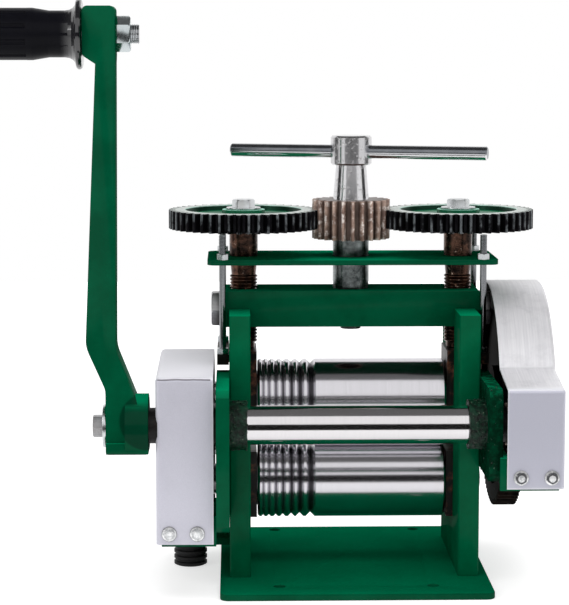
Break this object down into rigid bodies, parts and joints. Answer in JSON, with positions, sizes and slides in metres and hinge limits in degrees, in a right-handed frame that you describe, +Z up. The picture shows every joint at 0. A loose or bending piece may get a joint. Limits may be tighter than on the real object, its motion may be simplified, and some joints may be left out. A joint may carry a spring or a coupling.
{
  "type": "jewellers rolling mill",
  "caption": "Hand cranked bench rolling mill: two steel rolls in a painted frame, geared crank drive, and a tee handle that sets the roll gap through paired pressure screws.",
  "frame": {"origin": "centre of the four base bolt holes, on the underside of the base plate", "axes": "+X along the rolls, away from the crank; +Y from the feed side to the back; +Z up"},
  "size_m": [0.379, 0.1842, 0.3328],
  "materials": {
    "green_paint": "glossy enamel",
    "cover_paint": "satin silver grey",
    "polished_steel": "ground and polished",
    "chrome": "bright",
    "zinc_steel": "zinc plated",
    "bare_steel": "machined",
    "bronze": "machined",
    "gear_iron": "oiled",
    "black_gear": "blackened",
    "pinion_steel": "hobbed, oiled",
    "oiled_screw": "oiled, brown",
    "black_plastic": "moulded",
    "black_rubber": "matt"
  },
  "bodies": {
    "frame": {"base_plate": "green_paint", "side_frame_left": "green_paint", "side_frame_right": "green_paint", "lug_plate_left": "green_paint", "lug_plate_right": "green_paint", "lug_bushes": "bronze", "lug_screws": "zinc_steel", "lower_block_left": "bare_steel", "lower_block_right": "bare_steel", "bridge": "green_paint", "bridge_end_bolts": "zinc_steel", "left_cover": "cover_paint", "right_cover": "cover_paint", "left_cover_screws": "zinc_steel", "right_cover_screws": "zinc_steel", "left_cover_bracket": "green_paint", "right_cover_bracket": "green_paint", "foot_bracket": "green_paint", "support_foot": "black_rubber", "foot_stud": "zinc_steel"},
    "carriage": {"upper_block_left": "bare_steel", "upper_block_right": "bare_steel", "lifting_plate": "green_paint", "lift_rods": "zinc_steel", "lift_nuts": "bronze"},
    "upper_bushes": {"upper_roll_bushes": "bronze", "upper_thrust_washers": "bare_steel"},
    "upper_roll": {"upper_roll": "polished_steel", "drive_gear": "gear_iron", "upper_coupling_gear": "gear_iron", "upper_roll_keys": "bare_steel", "upper_roll_nuts": "zinc_steel"},
    "lower_bushes": {"lower_roll_bushes": "bronze", "lower_thrust_washers": "bare_steel"},
    "lower_roll": {"lower_roll": "polished_steel", "lower_coupling_gear": "gear_iron", "lower_roll_key": "bare_steel", "lower_roll_nuts": "zinc_steel"},
    "crank": {"crankshaft": "polished_steel", "drive_pinion": "pinion_steel", "drive_pinion_nut": "zinc_steel", "crank_arm": "green_paint", "crank_washer": "zinc_steel", "crank_bolt": "zinc_steel", "handle_spindle": "zinc_steel", "handle_nut": "zinc_steel"},
    "handle": {"handle_grip": "black_plastic", "grip_cap": "black_plastic"},
    "tee_handle": {"handle_shaft": "chrome", "center_pinion": "pinion_steel", "tee_bar": "chrome", "handle_circlip": "zinc_steel"},
    "left_screw": {"pressure_screw_left": "oiled_screw", "screw_sleeve_left": "oiled_screw", "screw_gear_left": "black_gear", "gear_bolt_left": "zinc_steel"},
    "right_screw": {"pressure_screw_right": "oiled_screw", "screw_sleeve_right": "oiled_screw", "screw_gear_right": "black_gear", "gear_bolt_right": "zinc_steel"}
  },
  "joints": [
    {"name": "crank_turn", "type": "hinge", "parent": "frame", "child": "crank", "pos_m": [-0.09, -0.0735, 0.097], "axis": [1, 0, 0], "continuous": true},
    {"name": "handle_spin", "type": "hinge", "parent": "crank", "child": "handle", "pos_m": [-0.2, -0.0735, 0.3135], "axis": [1, 0, 0], "continuous": true},
    {"name": "carriage_slide", "type": "slide", "parent": "frame", "child": "carriage", "axis": [0, 0, 1], "range_m": [-0.0042, 0.0006]},
    {"name": "adjust_turn", "type": "hinge", "parent": "frame", "child": "tee_handle", "pos_m": [0, 0, 0.2456], "axis": [0, 0, 1], "range_deg": [-216.5, 1512.5]},
    {"name": "left_screw_turn", "type": "hinge", "parent": "carriage", "child": "left_screw", "pos_m": [-0.063, 0, 0.2], "axis": [0, 0, 1], "range_deg": [-756.5, 108.5]},
    {"name": "right_screw_turn", "type": "hinge", "parent": "carriage", "child": "right_screw", "pos_m": [0.063, 0, 0.2], "axis": [0, 0, 1], "range_deg": [-756.5, 108.5]},
    {"name": "upper_bush_turn", "type": "hinge", "parent": "carriage", "child": "upper_bushes", "pos_m": [0, 0, 0.1008], "axis": [1, 0, 0], "range_deg": [-3.87, 0.6]},
    {"name": "upper_roll_turn", "type": "hinge", "parent": "upper_bushes", "child": "upper_roll", "pos_m": [0, 0, 0.1008], "axis": [1, 0, 0], "continuous": true},
    {"name": "lower_bush_turn", "type": "hinge", "parent": "frame", "child": "lower_bushes", "pos_m": [0, 0, 0.0515], "axis": [1, 0, 0], "range_deg": [-0.6, 3.87]},
    {"name": "lower_roll_turn", "type": "hinge", "parent": "lower_bushes", "child": "lower_roll", "pos_m": [0, 0, 0.0515], "axis": [1, 0, 0], "continuous": true}
  ],
  "couplings": [
    {"joint": "upper_roll_turn", "follows": "crank_turn", "ratio": -0.16667},
    {"joint": "lower_roll_turn", "follows": "crank_turn", "ratio": 0.16667},
    {"joint": "adjust_turn", "follows": "carriage_slide", "rad_per_m": -6283.2},
    {"joint": "left_screw_turn", "follows": "carriage_slide", "rad_per_m": 3141.6},
    {"joint": "right_screw_turn", "follows": "carriage_slide", "rad_per_m": 3141.6},
    {"joint": "upper_bush_turn", "follows": "carriage_slide", "rad_per_m": 15.873},
    {"joint": "lower_bush_turn", "follows": "carriage_slide", "rad_per_m": -15.873}
  ]
}
